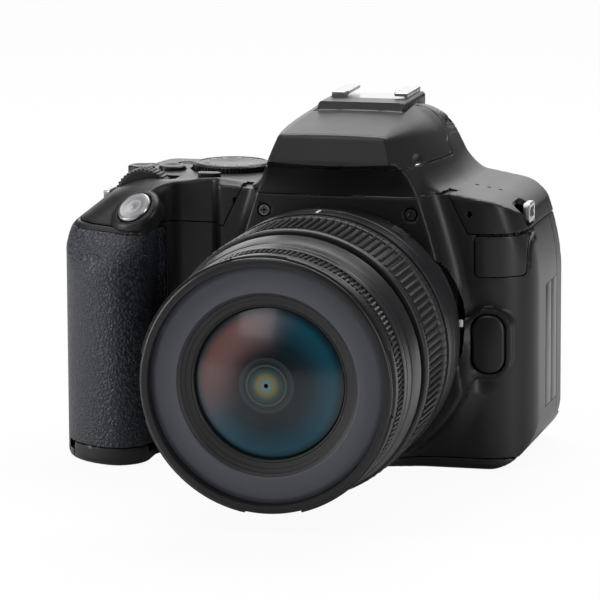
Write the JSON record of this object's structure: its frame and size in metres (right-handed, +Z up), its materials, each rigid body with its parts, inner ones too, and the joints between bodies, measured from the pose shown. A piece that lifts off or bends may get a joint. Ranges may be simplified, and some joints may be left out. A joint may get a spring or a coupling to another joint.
{
  "type": "dslr camera",
  "caption": "Digital reflex camera with a zoom lens, textured hand grip, finder hump with lifting flash, control dials, hot shoe and a screen that swings out.",
  "frame": {"origin": "centre of the tripod socket in the plane of the base", "axes": "-Y is the way the lens looks, +X is the side away from the hand grip, +Z is up"},
  "size_m": [0.1223, 0.1348, 0.0926],
  "materials": {
    "body_plastic": "satin black moulded plastic",
    "base_plastic": "fine textured black plastic",
    "grip_rubber": "pebbled rubber",
    "control_plastic": "fine satin plastic",
    "steel": "satin steel",
    "screw_steel": "blackened steel",
    "brushed_aluminium": "radially brushed",
    "brass": "plated brass",
    "optical_glass": "coated optical glass",
    "screen_glass": "gloss black panel",
    "lens_plastic": "satin black lens barrel",
    "lens_rubber": "ribbed rubber",
    "name_ring_plastic": "matte dark grey",
    "inner_plastic": "matte black moulding",
    "board": "green circuit board",
    "sensor": "sensor under filter glass",
    "cell_plastic": "matte battery case",
    "card_plastic": "blue card case",
    "mirror_face": "front surface mirror",
    "window": "ribbed clear window",
    "eyecup_rubber": "soft rubber"
  },
  "bodies": {
    "body": {"front_cover": "body_plastic", "rear_cover": "body_plastic", "top_cover": "body_plastic", "bottom_cover": "base_plastic", "grip_rubber": "grip_rubber", "mount_ring": "steel", "screws": "screw_steel", "mirror_box": "inner_plastic", "finder_optics": "optical_glass", "eyepiece_lens": "optical_glass", "eyecup": "eyecup_rubber", "shutter_unit": "inner_plastic", "image_sensor": "sensor", "main_board": "board", "tripod_socket": "brass", "battery_box": "inner_plastic", "battery": "cell_plastic", "memory_card": "card_plastic", "shoe_rails": "steel", "dial_axle": "steel", "strap_lugs": "steel", "name_plate": "control_plastic", "side_ports": "inner_plastic", "lens_bayonet": "steel", "lens_barrel": "lens_plastic", "aperture_unit": "inner_plastic", "rear_element": "optical_glass"},
    "mirror": {"reflex_mirror": "mirror_face"},
    "dioptre": {"dioptre_knob": "control_plastic"},
    "battery_cover": {"battery_door": "base_plastic"},
    "battery_catch": {"battery_latch": "control_plastic"},
    "flash": {"flash_head": "body_plastic", "flash_window": "window"},
    "mode_dial": {"mode_dial": "control_plastic"},
    "power_lever": {"power_lever": "control_plastic"},
    "main_dial": {"main_dial": "control_plastic"},
    "shutter_button": {"shutter_button": "brushed_aluminium"},
    "iso_button": {"iso_button": "control_plastic"},
    "disp_button": {"disp_button": "control_plastic"},
    "release_button": {"release_button": "control_plastic"},
    "lock_pin": {"lock_pin": "steel"},
    "port_door_front": {"port_door_front": "base_plastic"},
    "port_door_rear": {"port_door_rear": "base_plastic"},
    "screen": {"screen_hinge": "control_plastic", "screen_housing": "body_plastic", "screen_glass": "screen_glass"},
    "menu_button": {"menu_button": "control_plastic"},
    "play_button": {"play_button": "control_plastic"},
    "delete_button": {"delete_button": "control_plastic"},
    "set_button": {"set_button": "control_plastic"},
    "cross_pad": {"cross_pad": "control_plastic"},
    "view_button": {"view_button": "control_plastic"},
    "lock_button": {"lock_button": "control_plastic"},
    "point_button": {"point_button": "control_plastic"},
    "zoom_ring": {"zoom_ring": "lens_rubber"},
    "front_barrel": {"inner_barrel": "lens_plastic", "name_ring": "name_ring_plastic", "front_element": "optical_glass"},
    "focus_ring": {"focus_ring": "lens_plastic"},
    "mode_switch": {"mode_switch": "control_plastic"}
  },
  "joints": [
    {"name": "mirror_flip", "type": "hinge", "parent": "body", "child": "mirror", "pos_m": [0, 0.0005, 0.051], "axis": [-1, 0, 0], "range_deg": [0, 42]},
    {"name": "dioptre_turn", "type": "hinge", "parent": "body", "child": "dioptre", "pos_m": [0.0136, 0.0165, 0.0805], "axis": [1, 0, 0], "range_deg": [-130, 130]},
    {"name": "battery_door_open", "type": "hinge", "parent": "body", "child": "battery_cover", "pos_m": [-0.0466, 0, 0.0014], "axis": [0, -1, 0], "range_deg": [0, 95]},
    {"name": "battery_latch_slide", "type": "slide", "parent": "battery_cover", "child": "battery_catch", "axis": [1, 0, 0], "range_m": [0, 0.0022], "stiffness_N_per_m": 200},
    {"name": "flash_raise", "type": "hinge", "parent": "body", "child": "flash", "pos_m": [0, 0.004, 0.085], "axis": [-1, 0, 0], "range_deg": [0, 42]},
    {"name": "mode_dial_turn", "type": "hinge", "parent": "body", "child": "mode_dial", "pos_m": [-0.038, 0.007, 0.07], "axis": [0, 0, 1], "continuous": true},
    {"name": "power_lever_turn", "type": "hinge", "parent": "body", "child": "power_lever", "pos_m": [-0.0395, -0.0086, 0.07], "axis": [0, 0, 1], "range_deg": [-18, 18]},
    {"name": "main_dial_turn", "type": "hinge", "parent": "body", "child": "main_dial", "pos_m": [-0.0563, -0.012, 0.0654], "axis": [0, 1, 0], "continuous": true},
    {"name": "shutter_press", "type": "slide", "parent": "body", "child": "shutter_button", "axis": [0.2955, 0.5901, -0.7513], "range_m": [0, 0.0008], "stiffness_N_per_m": 400},
    {"name": "iso_press", "type": "slide", "parent": "body", "child": "iso_button", "axis": [0, 0, -1], "range_m": [0, 0.0006], "stiffness_N_per_m": 400},
    {"name": "disp_press", "type": "slide", "parent": "body", "child": "disp_button", "axis": [0, 0, -1], "range_m": [0, 0.0006], "stiffness_N_per_m": 400},
    {"name": "release_press", "type": "slide", "parent": "body", "child": "release_button", "axis": [0, 1, 0], "range_m": [0, 0.002], "stiffness_N_per_m": 400},
    {"name": "lock_pin_draw", "type": "slide", "parent": "body", "child": "lock_pin", "axis": [0, 1, 0], "range_m": [0, 0.0016]},
    {"name": "port_door_front_open", "type": "hinge", "parent": "body", "child": "port_door_front", "pos_m": [0.0484, -0.004, 0.029], "axis": [0, 0, -1], "range_deg": [0, 100]},
    {"name": "port_door_rear_open", "type": "hinge", "parent": "body", "child": "port_door_rear", "pos_m": [0.0484, 0.0108, 0.029], "axis": [0, 0, 1], "range_deg": [0, 100]},
    {"name": "screen_swing", "type": "hinge", "parent": "body", "child": "screen", "pos_m": [0.044, 0.0217, 0.035], "axis": [0, 0, -1], "range_deg": [0, 175]},
    {"name": "menu_press", "type": "slide", "parent": "body", "child": "menu_button", "axis": [0, -1, 0], "range_m": [0, 0.0006], "stiffness_N_per_m": 400},
    {"name": "play_press", "type": "slide", "parent": "body", "child": "play_button", "axis": [0, -1, 0], "range_m": [0, 0.0006], "stiffness_N_per_m": 400},
    {"name": "delete_press", "type": "slide", "parent": "body", "child": "delete_button", "axis": [0, -1, 0], "range_m": [0, 0.0006], "stiffness_N_per_m": 400},
    {"name": "set_press", "type": "slide", "parent": "body", "child": "set_button", "axis": [0, -1, 0], "range_m": [0, 0.0006], "stiffness_N_per_m": 400},
    {"name": "cross_press", "type": "slide", "parent": "body", "child": "cross_pad", "axis": [0, -1, 0], "range_m": [0, 0.0005], "stiffness_N_per_m": 400},
    {"name": "view_press", "type": "slide", "parent": "body", "child": "view_button", "axis": [0, -1, 0], "range_m": [0, 0.0006], "stiffness_N_per_m": 400},
    {"name": "lock_press", "type": "slide", "parent": "body", "child": "lock_button", "axis": [0, 0, -1], "range_m": [0, 0.0005], "stiffness_N_per_m": 400},
    {"name": "point_press", "type": "slide", "parent": "body", "child": "point_button", "axis": [0, 0, -1], "range_m": [0, 0.0005], "stiffness_N_per_m": 400},
    {"name": "zoom_turn", "type": "hinge", "parent": "body", "child": "zoom_ring", "pos_m": [0, -0.067, 0.036], "axis": [0, -1, 0], "range_deg": [-12, 55]},
    {"name": "barrel_extend", "type": "slide", "parent": "body", "child": "front_barrel", "axis": [0, -1, 0], "range_m": [-0.0024, 0.011]},
    {"name": "focus_turn", "type": "hinge", "parent": "front_barrel", "child": "focus_ring", "pos_m": [0, -0.098, 0.036], "axis": [0, -1, 0], "continuous": true},
    {"name": "mode_switch_slide", "type": "slide", "parent": "body", "child": "mode_switch", "axis": [0, -1, 0], "range_m": [0, 0.003]}
  ],
  "couplings": [
    {"joint": "zoom_turn", "follows": "barrel_extend", "rad_per_m": 86.957},
    {"joint": "lock_pin_draw", "follows": "release_press", "ratio": 0.75}
  ]
}
